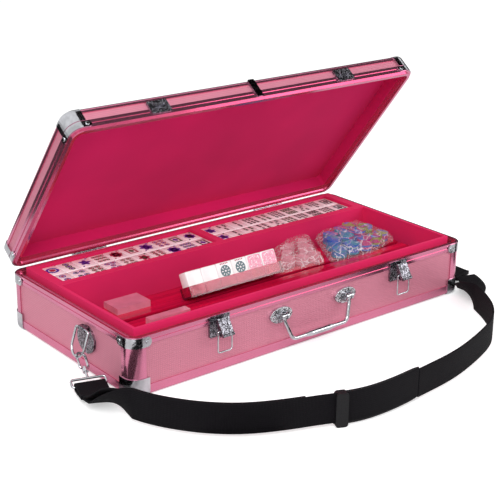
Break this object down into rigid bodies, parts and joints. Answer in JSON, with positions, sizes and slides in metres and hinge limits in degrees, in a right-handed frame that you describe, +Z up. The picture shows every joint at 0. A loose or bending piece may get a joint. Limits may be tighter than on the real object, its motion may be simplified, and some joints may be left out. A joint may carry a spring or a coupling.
{
  "type": "mahjong case",
  "caption": "Hard case with a hinged lid, draw latches, drop handle and shoulder strap, holding a mahjong set: tiles in a flocked tray, racks, spare tiles and bagged dice and coins.",
  "frame": {"origin": "middle of the underside of the case", "axes": "+X to the right along the front, +Y to the back, +Z up"},
  "size_m": [0.6246, 0.4886, 0.3028],
  "materials": {
    "panel": "embossed laminate with a pink metallic skin",
    "frame": "pink anodised extrusion",
    "chrome": "bright plated steel",
    "lining": "velvet over foam board",
    "tray": "flocked",
    "tile": "polished resin",
    "rack": "translucent acrylic",
    "bar": "moulded",
    "film": "soft clear film",
    "dice": "polished",
    "coin": "moulded in several colours",
    "webbing": "ribbed black webbing",
    "pad": "grained pad",
    "glide": "moulded"
  },
  "bodies": {
    "root": {"base_bottom_panel": "panel", "base_side_panels": "panel", "base_bottom_frame": "frame", "base_corner_posts": "frame", "base_rim_frame": "frame", "base_corner_clips": "chrome", "base_corner_caps": "chrome", "base_rivets": "chrome", "base_lining": "lining", "hinge_base_leaves": "chrome", "hinge_pins": "chrome", "latch_plates": "chrome", "handle_brackets": "chrome", "strap_plates": "chrome", "tile_tray": "tray", "tiles_top": "tile", "tiles_lower": "tile", "strap_webbing": "webbing", "strap_return": "webbing", "shoulder_pad": "pad", "tri_glide": "glide"},
    "lid": {"lid_top_panel": "panel", "lid_side_panels": "panel", "lid_top_frame": "frame", "lid_corner_posts": "frame", "lid_rim_frame": "frame", "lid_corner_clips": "chrome", "lid_corner_caps": "chrome", "lid_rivets": "chrome", "lid_lining": "lining", "lid_centre_clip": "chrome", "lid_catches": "chrome", "hinge_lid_leaves": "chrome"},
    "accessory_tray": {"accessory_tray": "tray", "tile_racks": "rack", "rack_bars": "bar", "spare_tiles": "tile", "spare_tile_holder": "film", "dice_bag": "film", "dice": "dice", "coin_bag": "film", "coins": "coin"},
    "handle": {"handle_bail": "chrome"},
    "latch_lever_left": {"latch_left_lever": "chrome"},
    "latch_bail_left": {"latch_left_bail": "chrome"},
    "ring_left": {"strap_ring_left": "chrome"},
    "hook_left": {"snap_hook_left": "chrome"},
    "gate_left": {"hook_gate_left": "chrome"},
    "eye_left": {"hook_eye_left": "chrome", "strap_loop_left": "webbing"},
    "latch_lever_right": {"latch_right_lever": "chrome"},
    "latch_bail_right": {"latch_right_bail": "chrome"},
    "ring_right": {"strap_ring_right": "chrome"},
    "hook_right": {"snap_hook_right": "chrome"},
    "gate_right": {"hook_gate_right": "chrome"},
    "eye_right": {"hook_eye_right": "chrome", "strap_loop_right": "webbing"}
  },
  "joints": [
    {"name": "lid_hinge", "type": "hinge", "parent": "root", "child": "lid", "pos_m": [0, 0.1353, 0.07265], "axis": [-1, 0, 0], "range_deg": [-52.5, 47.5]},
    {"name": "handle_hinge", "type": "hinge", "parent": "root", "child": "handle", "pos_m": [0, -0.1395, 0.048], "axis": [-1, 0, 0], "range_deg": [-17, 95]},
    {"name": "accessory_tray_lift", "type": "slide", "parent": "root", "child": "accessory_tray", "axis": [0, 0, 1], "range_m": [0, 0.08]},
    {"name": "latch_lever_left_hinge", "type": "hinge", "parent": "root", "child": "latch_lever_left", "pos_m": [-0.144, -0.1375, 0.066], "axis": [-1, 0, 0], "range_deg": [0, 66]},
    {"name": "latch_bail_left_hinge", "type": "hinge", "parent": "latch_lever_left", "child": "latch_bail_left", "pos_m": [-0.144, -0.14359, 0.05625], "axis": [-1, 0, 0], "range_deg": [-12, 170]},
    {"name": "ring_left_hinge", "type": "hinge", "parent": "root", "child": "ring_left", "pos_m": [-0.27, -0.041, 0.056], "axis": [0, 1, 0], "range_deg": [0, 90]},
    {"name": "hook_left_hinge", "type": "hinge", "parent": "ring_left", "child": "hook_left", "pos_m": [-0.27898, -0.05005, 0.02837], "axis": [-0.2185, 0.7071, -0.6725], "range_deg": [0, 40]},
    {"name": "eye_left_swivel", "type": "hinge", "parent": "hook_left", "child": "eye_left", "pos_m": [-0.29, -0.086, 0.0085], "axis": [-0.2592, -0.8453, -0.4672], "range_deg": [-180, 180]},
    {"name": "gate_left_hinge", "type": "hinge", "parent": "hook_left", "child": "gate_left", "pos_m": [-0.28555, -0.05299, 0.02877], "axis": [0.2847, -0.5291, 0.7993], "range_deg": [0, 25], "stiffness_Nm_per_rad": 0.002, "springref_deg": -11.46},
    {"name": "latch_lever_right_hinge", "type": "hinge", "parent": "root", "child": "latch_lever_right", "pos_m": [0.144, -0.1375, 0.066], "axis": [-1, 0, 0], "range_deg": [0, 66]},
    {"name": "latch_bail_right_hinge", "type": "hinge", "parent": "latch_lever_right", "child": "latch_bail_right", "pos_m": [0.144, -0.14359, 0.05625], "axis": [-1, 0, 0], "range_deg": [-12, 170]},
    {"name": "ring_right_hinge", "type": "hinge", "parent": "root", "child": "ring_right", "pos_m": [0.27, -0.041, 0.056], "axis": [0, -1, 0], "range_deg": [0, 90]},
    {"name": "hook_right_hinge", "type": "hinge", "parent": "ring_right", "child": "hook_right", "pos_m": [0.27898, -0.05005, 0.02837], "axis": [-0.2185, -0.7071, 0.6725], "range_deg": [0, 40]},
    {"name": "eye_right_swivel", "type": "hinge", "parent": "hook_right", "child": "eye_right", "pos_m": [0.2885, -0.086, 0.0085], "axis": [0.2258, -0.8526, -0.4713], "range_deg": [-180, 180]},
    {"name": "gate_right_hinge", "type": "hinge", "parent": "hook_right", "child": "gate_right", "pos_m": [0.28548, -0.05316, 0.02862], "axis": [0.2799, 0.5202, -0.8069], "range_deg": [0, 25], "stiffness_Nm_per_rad": 0.002, "springref_deg": -11.46}
  ]
}
